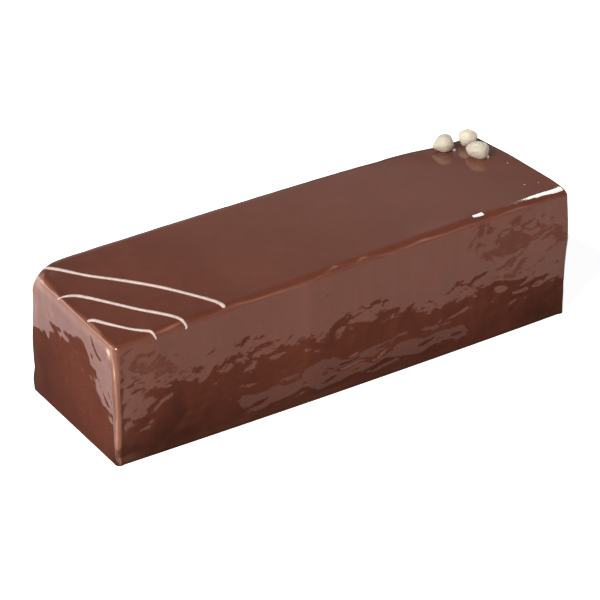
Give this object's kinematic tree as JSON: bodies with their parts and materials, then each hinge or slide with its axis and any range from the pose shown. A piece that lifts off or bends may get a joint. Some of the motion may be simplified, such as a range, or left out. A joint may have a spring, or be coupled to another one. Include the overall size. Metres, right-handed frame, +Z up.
{
  "type": "nougat ice cream cake",
  "caption": "Rectangular loaf ice cream cake with a glossy cocoa glaze, threads of white icing over one end and whole blanched hazelnuts at a far corner.",
  "frame": {"origin": "middle of the underside of the loaf, on the surface that it stands on", "axes": "+X along the loaf towards the end with the hazelnuts, +Y across it towards the long side next to two of them, +Z up"},
  "size_m": [0.2804, 0.0902, 0.082],
  "materials": {
    "cocoa_glaze": "glossy poured cocoa glaze, mid brown, thin and lighter at the edges",
    "white_icing": "satin white icing thread",
    "blanched_kernel": "cream blanched hazelnut, satin"
  },
  "bodies": {
    "root": {"glazed_loaf": "cocoa_glaze", "hazelnut_left": "blanched_kernel", "hazelnut_rear": "blanched_kernel", "hazelnut_front": "blanched_kernel"}
  },
  "joints": []
}
